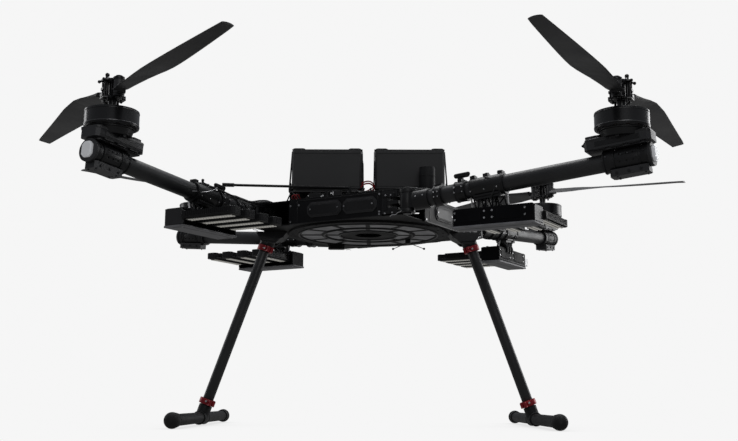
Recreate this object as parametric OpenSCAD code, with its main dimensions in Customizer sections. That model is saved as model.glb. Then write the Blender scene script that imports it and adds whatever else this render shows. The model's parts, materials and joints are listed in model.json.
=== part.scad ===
// Folding quadcopter with four under-arm light arrays.
// Origin: centre of the payload bolt circle, on the underside of the payload ring.
// +Z is up, -Y is the front, +X is the right-hand side. Millimetres.

/* [Body] */
// Half width of the square body, from its centre to a side plate's outer face
body_half = 185; // [185:1:190]
// Height of the body's side plates
side_h = 53; // [50:1:55]
// Thickness of the side plates
side_t = 4; // [3:0.5:4]
// Outer radius of the round payload ring
ring_r = 176; // [165:1:178]
// Number of spokes in the payload ring
spokes = 12; // [8:4:16]

/* [Payload bolts] */
// Pitch circle diameter of the payload bolts
payload_pcd = 120; // [110:1:124]
// Number of payload bolt holes
payload_holes = 8; // [4:4:12]
// Radius of each payload bolt hole
payload_hole_r = 2.15; // [1.6:0.05:2.6]

/* [Arms] */
// Half the distance between neighbouring motors
motor_half = 460; // [455:1:480]
// Distance of each arm's centreline from the body's centre
arm_offset = 174; // [172:1:176]
// Angle of the arms above level
arm_rise = 4.97; // [4:0.1:5.5]
// Outer radius of the arm tube
arm_r = 16.5; // [15.5:0.25:17]
// Wall of the arm tube
arm_wall = 2; // [1.5:0.25:3]

/* [Rotors] */
// Distance from the rotor's axis to the blade tip
blade_tip_r = 446; // [400:1:450]
// Widest chord of a blade
blade_chord = 61; // [50:1:64]
// Chord at the tip of a blade
tip_chord = 27; // [20:1:36]
// Distance a blade would screw forward in one turn
blade_pitch = 235; // [180:5:260]
// Outer radius of the motor bell
bell_r = 49; // [46:0.5:50]
// Height of the motor bell
bell_h = 31; // [28:0.5:32]

/* [Light arrays] */
// Number of light bars in one array
bars = 4; // [2:1:4]
// Distance between neighbouring light bars
bar_pitch = 44.5; // [36:0.5:44.5]
// Width of one light bar
bar_w = 26; // [20:1:30]

/* [Landing gear] */
// Half distance between the two skids
skid_half = 358; // [330:1:370]
// Half length of each skid, to the centre of its end caps
skid_reach = 323; // [280:1:330]
// Depth of the skid's centreline below the payload ring
skid_drop = 398; // [365:1:405]
// Radius of the leg and skid tubes
leg_r = 11.5; // [11:0.25:12]

/* [Hidden] */
$fn = 64;

// Arm numbers count anticlockwise from the front right: 0 FR, 1 RR, 2 RL, 3 FL.
FR = 0;
RR = 1;
RL = 2;
FL = 3;

// Clearances: sliding pivots and clamped tubes.
gap = 0.05;
seam = 0.3;

// The arm's direction: its line passes arm_offset from the centre and through the motor.
motor_reach = motor_half * sqrt(2);
arm_angle = 45 - asin(arm_offset / motor_reach);
motor_s = sqrt(motor_reach * motor_reach - arm_offset * arm_offset);

// Body heights.
plate_z = 4;
plate_t = 3;
side_z = plate_z;
side_top = side_z + side_h;
deck_z = side_top - 3;
tray_z = 81;
battery_z = 89;
battery_h = 89;
battery_w = 151;
battery_l = 170;
battery_x = 89.5;

// The fold hinge at each corner, and the arm's axis height there.
hinge_s = 190;
hinge_pin_r = 6;
ear_t = 7;
ear_r = 16;
knuckle_r = 15;
axis_z = 28.4;
rise = tan(arm_rise);

// Distances along the tube from the hinge.
tube_from = 34;
tube_to = 486;
clamp_1 = 73;
clamp_2 = 121;
pivot_z = 21.5;
sleeve_from = 142;
sleeve_to = 211;
tip_from = 407;
tip_to = 493;
band_r = 20;

// Motor heights above the payload ring.
bell_z = 122;
stator_r = 43.5;
shaft_r = 5;
hub_z = 175;
hub_top = 211;
blade_z = 188;
pivot_r = 27;
pivot_pin_r = 3;
tip_clip = 11;
blade_stations = 14;
foil_points = 14;
shoulder_r = 130;
taper_r = 185;
root_chord = 36;

// Light array, in the arm's frame: s along the arm, n outward from the body.
box_s0 = 296;
box_s1 = 459;
box_n0 = 140;
box_n1 = 187;
box_z0 = -33.3;
box_z1 = 1.5;
bar_s0 = 319.5;
bar_n0 = 20;
bar_z0 = -22;
bar_z1 = -6.9;
rail_z0 = -6.7;
rail_z1 = -5.3;

// Landing gear.
leg_top_x = 224;
leg_top_z = -20;
leg_lean = atan((skid_half - leg_top_x) / (skid_drop + leg_top_z));
cap_r = 15.5;

// ---- Placement helpers ----

// Turns a shape into arm k's frame: +X runs along the arm and -Y points outward.
module on_side(k) {
  rotate([0, 0, 90 * k - arm_angle]) children();
}

// Frame on arm k's tube: origin on the hinge axis, +X up along the tube.
module on_tube(k) {
  on_side(k) translate([hinge_s, -arm_offset, axis_z]) rotate([0, -arm_rise, 0]) children();
}

// Frame on arm k's vertical rotor axis.
module on_motor(k) {
  on_side(k) translate([motor_s, -arm_offset, 0]) children();
}

// Frame on arm k's rotor, with +X along its first blade. Opposite rotors match.
function blade_angle(k) = [61.6, 128.8, 243.5, -54.3][k];

// How far blade B hangs from dead straight about its own pin, as a free folding blade does.
function blade_lean(k) = [0, 0, 0, -3][k];

// How far the tip of each parked blade hangs below its root, for blade A and blade B.
function drop_a(k) = [0, 0, 27, 0][k];
function drop_b(k) = [0, 40, 0, 0][k];

module on_rotor(k) {
  on_motor(k) rotate([0, 0, blade_angle(k) - 90 * k + arm_angle]) children();
}

// Frame on a leg: origin at its top, +Z up the tube. side is 1 right, -1 left.
module on_leg(side) {
  translate([side * leg_top_x, 0, leg_top_z]) rotate([0, -side * leg_lean, 0]) children();
}

// ---- Shape helpers ----

// A box given by its low and high corners.
module span(low, high) {
  translate(low) cube(high - low);
}

// A ring or rod along +X between two distances.
module rod_x(from, to, r, hole = 0) {
  translate([from, 0, 0]) rotate([0, 90, 0]) difference() {
    cylinder(h = to - from, r = r);
    if (hole > 0) translate([0, 0, -1]) cylinder(h = to - from + 2, r = hole);
  }
}

// A flat plate with its four upright edges cut at 45 degrees.
module chamfer_plate(size, cut) {
  linear_extrude(size[2]) polygon([
    [cut, 0], [size[0] - cut, 0], [size[0], cut], [size[0], size[1] - cut],
    [size[0] - cut, size[1]], [cut, size[1]], [0, size[1] - cut], [0, cut]
  ]);
}

// One screw: a low round head with a hex socket, standing on z = 0.
module screw_head(r) {
  difference() {
    cylinder(h = r * 0.7, r = r, $fn = 24);
    translate([0, 0, r * 0.3]) cylinder(h = r, r = r * 0.5, $fn = 6);
  }
}

// ---- Centre body ----

// One ring of windows between spokes.
module windows(inner, outer, count, gap_w) {
  difference() {
    circle(r = outer);
    circle(r = inner);
    for (i = [0 : count - 1]) rotate(360 * i / count) translate([0, -gap_w / 2]) square([outer + 1, gap_w]);
  }
}

module payload_ring_2d() {
  difference() {
    circle(r = ring_r);
    windows(104, 148, spokes, 9);
    windows(66, 92, spokes * 2 / 3, 9);
    circle(r = 29);
    for (i = [0 : payload_holes - 1]) {
      rotate(360 * i / payload_holes) translate([payload_pcd / 2, 0]) circle(r = payload_hole_r, $fn = 24);
    }
  }
}

module bottom_plate() {
  color("#1b1b1d") {
    linear_extrude(plate_z) payload_ring_2d();
    translate([0, 0, plate_z]) linear_extrude(plate_t) difference() {
      rotate(-arm_angle) square(2 * (body_half - side_t - seam), center = true);
      windows(104, 148, spokes, 9);
      circle(r = 92);
    }
    translate([-95, 128, -11]) chamfer_plate([38, 22, 11], 4);
  }
}

// One side plate in its arm's frame, with its outer face at body_half.
module side_plate() {
  difference() {
    translate([-87, -body_half, side_z]) cube([224.5, side_t, side_h]);
    translate([-87, -body_half - 1, side_top]) rotate([-90, 45, 0]) {
      cube([12, 12, 2 * side_t + 4], center = true);
    }
    for (x = [2, 87]) translate([x, -body_half + side_t + 1, side_z + 26.5]) {
      rotate([90, 0, 0]) cylinder(h = side_t + 2, r = 9);
    }
  }
}

module side_plates() {
  color("#17171a") for (k = [0 : 3]) on_side(k) side_plate();
}

// One pocket cover: a raised pan with cut corners and a soft step.
module pocket_cover(from, to) {
  translate([from, -body_half - 0.02, side_z + 10.5]) rotate([90, 0, 0]) {
    chamfer_plate([to - from, 32, 1.6], 9);
    translate([3, 3, 1.6]) chamfer_plate([to - from - 6, 26, 1.2], 8);
  }
}

module pocket_covers() {
  color("#242427") for (k = [0 : 3]) on_side(k) {
    pocket_cover(-40, 43.5);
    pocket_cover(47, 126.5);
  }
}

module top_deck() {
  color("#151517") translate([0, 0, deck_z]) linear_extrude(3) difference() {
    rotate(-arm_angle) square(2 * (body_half - side_t - seam), center = true);
    for (k = [0 : 3]) rotate(90 * k) translate([0, 108]) square([84, 34], center = true);
    circle(r = 26);
  }
}

module battery_tray() {
  color("#1a1a1c") {
    translate([-170, -86, tray_z]) chamfer_plate([340, 172, 3], 14);
    for (x = [-150, -20, 20, 150], y = [-70, 70]) {
      translate([x, y, side_top]) cylinder(h = tray_z - side_top, r = 5, $fn = 32);
    }
    for (x = [-172, 170], y = [-46, 24]) translate([x, y, tray_z]) cube([2, 22, 30]);
  }
}

// A battery pack with raised end bosses and a shallow band round its foot.
module battery(side) {
  lid = 6;
  translate([side * battery_x - battery_w / 2, -battery_l / 2, battery_z - 5]) {
    translate([3, 3, 0]) chamfer_plate([battery_w - 6, battery_l - 6, 5], 6);
    translate([0, 0, 5]) chamfer_plate([battery_w, battery_l, battery_h - lid], 5);
    translate([2, 2, battery_h - 1]) chamfer_plate([battery_w - 4, battery_l - 4, 3.5], 5);
    for (x = [2, battery_w - 28]) {
      translate([x, 2, battery_h + 2.5]) chamfer_plate([26, battery_l - 4, 2.5], 4);
    }
  }
}

module battery_left() {
  color("#202022") battery(-1);
}

module battery_right() {
  color("#202022") battery(1);
}

module avionics() {
  color("#2a2a2d") {
    translate([-58, -44, side_top + 0.2]) chamfer_plate([116, 88, 15], 6);
    translate([-120, -100, side_top + 0.2]) chamfer_plate([70, 24, 12], 3);
    translate([66, -30, side_top + 0.2]) chamfer_plate([60, 62, 10], 3);
    translate([-128, -34, side_top + 0.2]) chamfer_plate([60, 70, 9], 3);
  }
}

// ---- Corner hinges ----

module hinge_ear(z) {
  translate([0, 0, z]) linear_extrude(ear_t) difference() {
    union() {
      translate([hinge_s, -arm_offset]) circle(r = ear_r);
      translate([138, -body_half + side_t + seam]) square([hinge_s - 138, 28]);
      translate([171.5, -arm_offset - 8]) square([hinge_s - 171.5, 10]);
    }
    translate([hinge_s, -arm_offset]) circle(r = hinge_pin_r + gap);
    translate([154, -168]) circle(r = 4);
  }
}

// The block that ties both ears together, behind the side plate.
module hinge_block() {
  difference() {
    span([138, -body_half, plate_z + plate_t + 0.2], [173, -152.7, deck_z - 0.2]);
    for (z = [20, 34]) translate([152, -190, z]) cube([30, 50, 6]);
  }
}

// The headed pin each arm folds on.
module hinge_pin() {
  low = plate_z + plate_t + 0.2;
  high = deck_z - 0.2;
  translate([hinge_s, -arm_offset, low - 2.4]) cylinder(h = 2.4 - 0.02, r = 9);
  translate([hinge_s, -arm_offset, low - 0.1]) cylinder(h = high - low + 0.12, r = hinge_pin_r);
  translate([hinge_s, -arm_offset, high + 0.02]) cylinder(h = 3, r = 9);
}

module hinge_brackets() {
  color("#1d1d20") for (k = [0 : 3]) on_side(k) {
    difference() {
      union() {
        hinge_block();
        hinge_ear(plate_z + plate_t + 0.2);
        hinge_ear(deck_z - ear_t - 0.2);
      }
      for (z = [0, 43]) translate([145, -160, z]) cylinder(h = 20, r = 2.1);
    }
    hinge_pin();
  }
}

// ---- Fasteners ----

module side_screws() {
  for (p = [[132.7, 9], [132.7, 4], [132.7, 45], [-61, 39], [-82, 39], [-82, 5]]) {
    translate([p[0], -body_half - 0.02, side_z + p[1]]) rotate([90, 0, 0]) screw_head(2);
  }
}

module cover_screws() {
  for (x = [-31.6, 34.6, 51, 117]) {
    translate([x, -body_half - 2.85, side_z + 27]) rotate([90, 0, 0]) screw_head(1.7);
  }
}

module fasteners() {
  color("#c9c9cc") for (k = [0 : 3]) on_side(k) {
    side_screws();
    cover_screws();
  }
}

// ---- Antennas ----

// A thin straight wire with a ball at its far end.
module wire(length, r, ball_r) {
  cylinder(h = length, r = r, $fn = 24);
  translate([0, 0, length]) sphere(r = ball_r, $fn = 24);
}

module antennas() {
  color("#202023") {
    translate([126, -104, side_top + 0.2]) cylinder(h = 71, r = 17);
    translate([-39, -97, 88]) rotate([0, -88.8, 0]) {
      cylinder(h = 252, r = 2.8, $fn = 24);
      translate([0, 0, 248]) cylinder(h = 25, r = 4.2, $fn = 32);
    }
    translate([-39, -97, side_top + 0.2]) cylinder(h = 32, r = 3, $fn = 24);
    for (a = [117, 57]) translate([89, 53, -8]) rotate([0, 0, a]) rotate([0, 94, 0]) {
      wire(72, 0.8, 2.6);
    }
    translate([89, 53, -10]) cylinder(h = 9.98, r = 6, $fn = 32);
  }
}

// ---- Landing gear ----

module leg_bracket(side) {
  difference() {
    union() {
      translate([side * 206, 28, plate_z - 0.02]) rotate([90, 0, 0]) linear_extrude(56) {
        polygon([[-29, 0], [40, 0], [29, -19], [-3, -21], [-20, -12]] * [[side, 0], [0, 1]]);
      }
      on_leg(side) translate([0, 0, -4]) cylinder(h = 16, r = leg_r + 5);
    }
    on_leg(side) translate([0, 0, -40]) cylinder(h = 48, r = leg_r + gap);
    translate([side * 206 - 60, -40, plate_z - 0.02]) cube([120, 80, 30]);
    for (y = [-20, 20]) translate([side * 186, y, -20]) cylinder(h = 40, r = 2.2);
  }
}

module leg_brackets() {
  color("#19191b") {
    leg_bracket(1);
    leg_bracket(-1);
  }
}

leg_length = (skid_drop + leg_top_z) / cos(leg_lean);

module leg_tubes() {
  color("#26272a") for (side = [1, -1]) on_leg(side) {
    translate([0, 0, 20 - leg_length]) difference() {
      cylinder(h = leg_length - 14, r = leg_r);
      translate([0, 0, -1]) cylinder(h = leg_length, r = leg_r - 2);
    }
  }
}

// A split clamp ring with a bolt lug on its inner side.
module leg_clamp() {
  difference() {
    union() {
      cylinder(h = 12, r = leg_r + 5.5);
      translate([leg_r + 1, -7, 0]) cube([13, 14, 12]);
    }
    translate([0, 0, -1]) cylinder(h = 14, r = leg_r + gap);
    translate([leg_r - 3, -1, -1]) cube([20, 2, 14]);
    translate([leg_r + 9, 10, 6]) rotate([90, 0, 0]) cylinder(h = 20, r = 2.1, $fn = 24);
  }
}

module leg_clamps() {
  color("#8e1420") for (side = [1, -1]) on_leg(side) rotate([0, 0, side > 0 ? 235 : -55]) {
    translate([0, 0, -17]) leg_clamp();
    translate([0, 0, 30 - leg_length]) leg_clamp();
  }
}

module skid_tubes() {
  color("#222326") for (side = [1, -1]) {
    translate([side * skid_half, 0, -skid_drop]) {
      rotate([90, 0, 0]) cylinder(h = 2 * skid_reach - 30, r = leg_r, center = true);
      rotate([90, 0, 0]) cylinder(h = 62, r = leg_r + 2.5, center = true);
      difference() {
        rotate([0, -side * leg_lean, 0]) cylinder(h = 28, r = leg_r + 2.5);
        rotate([0, -side * leg_lean, 0]) translate([0, 0, 17]) cylinder(h = 20, r = leg_r + gap);
      }
    }
  }
}

module skid_caps() {
  color("#0e0e0f") for (side = [1, -1], end = [1, -1]) {
    translate([side * skid_half, end * skid_reach, -skid_drop]) rotate([end * 90, 0, 0]) {
      difference() {
        union() {
          sphere(r = cap_r, $fn = 48);
          translate([0, 0, 4]) cylinder(h = 18, r = leg_r + 2);
        }
        translate([0, 0, 14.9]) cylinder(h = 20, r = leg_r + gap);
      }
    }
  }
}

// ---- Arms ----

module arm_tube(k) {
  color("#222225") on_tube(k) rod_x(tube_from, tube_to, arm_r, arm_r - arm_wall);
}

// The knuckle that turns on the hinge pin, with the socket that holds the tube.
module knuckle(k) {
  low = plate_z + plate_t + ear_t + 0.5;
  high = deck_z - ear_t - 0.5;
  difference() {
    union() {
      on_side(k) {
        translate([hinge_s, -arm_offset, low]) cylinder(h = high - low, r = knuckle_r);
        translate([hinge_s, -arm_offset - 12, low + 1]) cube([22, 24, high - low - 2]);
      }
      on_tube(k) rod_x(19, 52, 19.5);
    }
    on_side(k) translate([hinge_s, -arm_offset, 0]) cylinder(h = 80, r = hinge_pin_r + gap);
    on_tube(k) rod_x(30, 60, arm_r + gap);
  }
}

// A clamp band with a lug that carries its screws.
module band(from, to) {
  difference() {
    union() {
      rod_x(from, to, band_r);
      translate([from, -6, 0]) cube([to - from, 12, band_r + 3]);
    }
    rod_x(from - 1, to + 1, arm_r + gap);
    translate([from - 1, -1, arm_r - 2]) cube([to - from + 2, 2, 20]);
  }
}

// The ears that carry the latch lever's pin.
module latch_ears() {
  difference() {
    for (y = [-9.3, 6.3]) translate([clamp_2, y + 3, pivot_z]) rotate([90, 0, 0]) {
      cylinder(h = 3, r = 4.5, $fn = 48);
      translate([-4.5, arm_r - pivot_z, 0]) cube([9, pivot_z - arm_r, 3]);
    }
    translate([clamp_2, 20, pivot_z]) rotate([90, 0, 0]) cylinder(h = 40, r = 2 + gap, $fn = 32);
    rod_x(clamp_2 - 20, clamp_2 + 20, arm_r + gap);
  }
}

module hanger_sleeve() {
  difference() {
    union() {
      rod_x(sleeve_from, sleeve_to, band_r);
      for (x = [sleeve_from + 4, sleeve_from + 31, sleeve_to - 8]) {
        translate([x - 4, -7, 0]) cube([10, 14, band_r + 5]);
      }
      translate([sleeve_from + 6, -13, -band_r - 4.5]) cube([sleeve_to - sleeve_from - 14, 26, 12]);
    }
    rod_x(sleeve_from - 1, sleeve_to + 1, arm_r + gap);
  }
}

module tip_sleeve() {
  difference() {
    rod_x(tip_from, tip_to - 6, band_r);
    rod_x(tip_from - 1, tip_to + 1, arm_r + gap);
    for (x = [tip_from + 19, tip_from + 66]) rod_x(x, x + 2.5, band_r + 1, band_r - 1.2);
    for (x = [tip_from + 30, tip_from + 42, tip_from + 54], a = [70, 110, 250, 290]) {
      translate([x, 0, 0]) rotate([a, 0, 0]) translate([0, 0, arm_r + 1.5]) {
        cylinder(h = 6, r = 1.8, $fn = 24);
      }
    }
  }
}

module arm_fittings(k) {
  color("#1a1a1d") {
    knuckle(k);
    on_tube(k) {
      band(clamp_1 - 8, clamp_1 + 8);
      difference() {
        union() {
          band(clamp_2 - 11, clamp_2 + 11);
          latch_ears();
        }
        translate([clamp_2 - 12, -6.1, arm_r + 0.5]) cube([24, 12.2, 20]);
      }
      hanger_sleeve();
      tip_sleeve();
    }
  }
}

// The over-centre lever on top of the arm, with its T-shaped knob.
module latch(k) {
  color("#141416") on_tube(k) translate([clamp_2, 0, pivot_z]) {
    rotate([90, 0, 0]) cylinder(h = 19, r = 2, center = true, $fn = 32);
    rotate([90, 0, 0]) cylinder(h = 11, r = 4, center = true, $fn = 32);
    translate([-3.5, -3.5, 0]) cube([7, 7, 8]);
    translate([-13, -7, 7]) chamfer_plate([30, 14, 5.5], 5);
  }
}

// ---- Motors ----

// The chamfered speed-controller box that lies along the top of the arm.
module controller_box() {
  translate([tip_from - 32, -23, band_r + 4]) {
    translate([4, 5, -3.9]) chamfer_plate([108, 36, 4], 4);
    chamfer_plate([122, 46, 17], 6);
    translate([3, 3, 17]) chamfer_plate([116, 40, 2], 5);
    translate([2, 8, 19]) chamfer_plate([24, 30, 8], 3);
  }
}

// The end plug that carries the end light, and the block under the tip.
module end_plug() {
  difference() {
    rod_x(tip_to - 5.8, tip_to, band_r + 1.5);
    rod_x(tip_to - 10, tip_to - 4, arm_r + 1);
  }
  difference() {
    translate([tip_from + 8, -15, -31]) chamfer_plate([70, 30, 13], 4);
    rod_x(tip_from, tip_to + 10, band_r + 0.1);
    for (x = [tip_from + 22, tip_from + 64]) translate([x, 0, -40]) cylinder(h = 20, r = 2.2);
  }
}

module motor_base(k) {
  color("#303033") {
    on_tube(k) {
      controller_box();
      end_plug();
    }
    on_motor(k) difference() {
      union() {
        translate([0, 0, bell_z - 22]) cylinder(h = 22, r = 21);
        translate([0, 0, bell_z - 6]) cylinder(h = 4, r = 30);
        translate([0, 0, bell_z - 1]) cylinder(h = bell_h - 7, r = stator_r);
      }
      translate([0, 0, bell_z + 4]) cylinder(h = bell_h, r = shaft_r + gap);
      for (a = [0 : 30 : 330]) rotate(a) translate([stator_r, 0, bell_z - 2]) cylinder(h = bell_h, r = 4);
    }
  }
}

module tip_light(k) {
  color("#c6c7c9") on_tube(k) {
    translate([tip_to + 0.05, -12, -14]) rotate([90, 0, 90]) chamfer_plate([24, 29, 4], 6);
    translate([tip_to + 4, -9.5, -11.5]) rotate([90, 0, 90]) chamfer_plate([19, 24, 1.6], 5);
  }
}

module motor_bell(k) {
  color("#121214") on_motor(k) difference() {
    union() {
      translate([0, 0, bell_z]) cylinder(h = bell_h, r = bell_r, $fn = 96);
      translate([0, 0, bell_z + 2]) cylinder(h = 2, r = bell_r + 0.6, $fn = 96);
    }
    translate([0, 0, bell_z - 1]) cylinder(h = bell_h - 3, r = stator_r + 1, $fn = 96);
    for (a = [0 : 45 : 315]) rotate(a) translate([28, 0, bell_z]) cylinder(h = bell_h + 2, r = 6);
    translate([0, 0, bell_z]) cylinder(h = bell_h + 2, r = shaft_r + 3);
  }
}

// ---- Rotors ----

module hub_plate(z, h, r) {
  translate([0, 0, z]) linear_extrude(h) union() {
    circle(r = r);
    square([2 * pivot_r, 18], center = true);
    for (side = [1, -1]) translate([side * pivot_r, 0]) circle(r = 10);
  }
}

module rotor_hub(k) {
  color("#18181a") on_rotor(k) {
    translate([0, 0, bell_z + 6]) cylinder(h = hub_z - bell_z - 5, r = shaft_r);
    translate([0, 0, bell_z + bell_h - 2]) cylinder(h = hub_z - bell_z - bell_h + 3, r = 7.8);
    translate([0, 0, bell_z + bell_h + 0.1]) cylinder(h = 4, r = 15);
    hub_plate(hub_z, 4, 17);
    hub_plate(hub_top - 4, 4, 17);
    for (side = [1, -1]) {
      translate([side * pivot_r, 0, hub_z]) cylinder(h = hub_top - hub_z, r = pivot_pin_r);
      translate([side * pivot_r, 0, hub_top - 0.5]) cylinder(h = 3.5, r = 5.5);
      translate([0, side * 12, hub_z]) cylinder(h = hub_top - hub_z + 8, r = 3.4);
      translate([0, side * 12, hub_top + 9]) sphere(r = 4, $fn = 24);
    }
    translate([0, 0, hub_z]) cylinder(h = hub_top - hub_z, r = 8);
  }
}

// Chord, twist and height of a blade at radius r from the rotor's axis.
function swell(r) = min(1, (r - 30) / (shoulder_r - 30));
function taper(r) = max(0, (r - taper_r) / (blade_tip_r - taper_r));
function chord_at(r) = root_chord + (blade_chord - root_chord) * (3 - 2 * swell(r)) * swell(r) * swell(r)
  + (tip_chord - blade_chord) * taper(r);
function twist_at(r) = atan(blade_pitch / (2 * PI * max(r, 112)));
function height_at(r, drop) = blade_z - drop * (r - pivot_r) / (blade_tip_r - pivot_r);
function thick_at(r) = 3.2 + 8 * (1 - swell(r));

// A point of the blade's section, with its leading edge facing anticlockwise.
// t turns once round the section.
function foil_point(r, t, drop) =
  let (
    c = chord_at(r),
    across = cos(t) * c / 2 + 0.1 * c * swell(r),
    up = sin(t) * thick_at(r) / 2 * (1 + 0.35 * cos(t)) + 0.035 * c * (1 - cos(t) * cos(t)),
    w = twist_at(r)
  )
  [r, across * cos(w) - up * sin(w), height_at(r, drop) + across * sin(w) + up * cos(w)];

// Blade stations bunch towards the root, and the last ones clip the tip.
function station_r(i) = 38 + (blade_tip_r - 38) * pow(i / blade_stations, 1.25);

function blade_points(drop) = [
  for (i = [0 : blade_stations]) for (j = [0 : foil_points - 1])
    let (
      p = foil_point(station_r(i), 360 * j / foil_points, drop),
      clip = i == blade_stations ? (0.5 + 0.5 * cos(360 * j / foil_points)) * tip_clip : 0
    )
    [p[0] - clip, p[1], p[2]]
];

blade_faces = concat(
  [for (i = [0 : blade_stations - 1]) for (j = [0 : foil_points - 1])
    let (a = i * foil_points + j, b = i * foil_points + (j + 1) % foil_points)
    [a, b + foil_points, b]],
  [for (i = [0 : blade_stations - 1]) for (j = [0 : foil_points - 1])
    let (a = i * foil_points + j, b = i * foil_points + (j + 1) % foil_points)
    [a, a + foil_points, b + foil_points]],
  [[for (j = [0 : foil_points - 1]) j]],
  [[for (j = [foil_points - 1 : -1 : 0]) blade_stations * foil_points + j]]
);

// One folding blade: a round root eye on the hub's pin and the twisted blade.
// hand is 1 for a leading edge that faces anticlockwise, and -1 for its mirror image.
// drop is how far the tip hangs below the root.
module blade(hand, drop) {
  difference() {
    union() {
      translate([pivot_r, 0, hub_z + 4.4]) cylinder(h = hub_top - hub_z - 8.8, r = 9.5);
      translate([pivot_r, -7, blade_z - 7]) cube([16, 14, 14]);
      scale([1, hand, 1]) polyhedron(blade_points(drop), blade_faces, convexity = 4);
    }
    translate([pivot_r, 0, hub_z - 1]) cylinder(h = 50, r = pivot_pin_r + gap);
  }
}

// Front-left and rear-right rotors turn one way, the other two the other way.
function hand_of(k) = k == FL || k == RR ? 1 : -1;

module blade_a(k) {
  color("#1c1c1e") on_rotor(k) blade(hand_of(k), drop_a(k));
}

module blade_b(k) {
  color("#1c1c1e") on_rotor(k) rotate([0, 0, 180]) translate([pivot_r, 0, 0]) {
    rotate([0, 0, blade_lean(k)]) translate([-pivot_r, 0, 0]) blade(hand_of(k), drop_b(k));
  }
}

// ---- Light arrays ----

// One bracket finger, from the driver box up to the block under the sleeve.
module finger(s) {
  top = axis_z + (s - hinge_s) * rise - 24.8;
  translate([s, -165, 0]) rotate([90, 0, 90]) linear_extrude(4) difference() {
    polygon([[-22, box_z1 - 1], [-6, box_z1 - 1], [-3, 12], [3, top], [-19, top], [-20, 14]]);
    translate([-10, 15]) circle(r = 3.5, $fn = 24);
  }
}

module light_frame(k) {
  color("#1e1e21") on_side(k) {
    difference() {
      span([box_s0, -box_n1, box_z0 + 3], [box_s1, -box_n0, box_z1]);
      span([box_s0 + 3, -box_n1 + 3, box_z0 + 2], [box_s1 - 3, -box_n0 + 8, box_z1 - 3]);
    }
    span([box_s0, -box_n1, box_z0], [box_s1, -box_n0, box_z0 + 3]);
    for (i = [0 : 2]) finger(hinge_s + sleeve_from + 16 + 14 * i);
    for (s = [box_s0 + 8, box_s1 - 18]) {
      span([s, -box_n0 - 4, rail_z0], [s + 10, -box_n0, box_z1 - 1]);
      span([s, -box_n0 - 1, rail_z0], [s + 10, -bar_n0 - 20, rail_z1]);
    }
  }
}

// One light bar: a base with upright fins and a rounded inner end.
module light_bar(s) {
  half = bar_w / 2;
  span([s - half, -box_n0 + 0.5, bar_z0 + 2], [s + half, -bar_n0 - 6, bar_z0 + 7]);
  span([s - half + 6, -box_n0 + 4, bar_z0], [s + half - 6, -bar_n0 - 12, bar_z0 + 2]);
  for (i = [0 : 4]) {
    x = s - half + i * (bar_w - 3) / 4;
    span([x, -box_n0 + 0.5, bar_z0 + 6], [x + 3, -bar_n0 - 10, bar_z1]);
  }
  span([s - half, -bar_n0 - 10, bar_z0 + 2], [s + half, -bar_n0, bar_z1]);
}

module light_bars(k) {
  color("#2b2b2e") on_side(k) for (i = [0 : bars - 1]) light_bar(bar_s0 + i * bar_pitch);
}

// ---- Everything, one node at a time ----

bottom_plate();
side_plates();
pocket_covers();
top_deck();
battery_tray();
hinge_brackets();
fasteners();
battery_left();
battery_right();
avionics();
antennas();
leg_brackets();
leg_tubes();
leg_clamps();
skid_tubes();
skid_caps();
arm_tube(FR);  // arm_tube_fr
arm_tube(RR);  // arm_tube_rr
arm_tube(RL);  // arm_tube_rl
arm_tube(FL);  // arm_tube_fl
arm_fittings(FR);  // arm_fittings_fr
arm_fittings(RR);  // arm_fittings_rr
arm_fittings(RL);  // arm_fittings_rl
arm_fittings(FL);  // arm_fittings_fl
motor_base(FR);  // motor_base_fr
motor_base(RR);  // motor_base_rr
motor_base(RL);  // motor_base_rl
motor_base(FL);  // motor_base_fl
tip_light(FR);  // tip_light_fr
tip_light(RR);  // tip_light_rr
tip_light(RL);  // tip_light_rl
tip_light(FL);  // tip_light_fl
light_frame(FR);  // light_frame_fr
light_frame(RR);  // light_frame_rr
light_frame(RL);  // light_frame_rl
light_frame(FL);  // light_frame_fl
light_bars(FR);  // light_bars_fr
light_bars(RR);  // light_bars_rr
light_bars(RL);  // light_bars_rl
light_bars(FL);  // light_bars_fl
latch(FR);  // latch_fr
latch(RR);  // latch_rr
latch(RL);  // latch_rl
latch(FL);  // latch_fl
motor_bell(FR);  // motor_bell_fr
motor_bell(RR);  // motor_bell_rr
motor_bell(RL);  // motor_bell_rl
motor_bell(FL);  // motor_bell_fl
rotor_hub(FR);  // rotor_hub_fr
rotor_hub(RR);  // rotor_hub_rr
rotor_hub(RL);  // rotor_hub_rl
rotor_hub(FL);  // rotor_hub_fl
blade_a(FR);  // blade_a_fr
blade_a(RR);  // blade_a_rr
blade_a(RL);  // blade_a_rl
blade_a(FL);  // blade_a_fl
blade_b(FR);  // blade_b_fr
blade_b(RR);  // blade_b_rr
blade_b(RL);  // blade_b_rl
blade_b(FL);  // blade_b_fl
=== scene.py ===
"""Looks for the folding quadcopter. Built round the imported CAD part, in the row frame, in metres."""
import json
import math
import random

import bmesh
import bpy
from mathutils import Matrix, Vector


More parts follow.
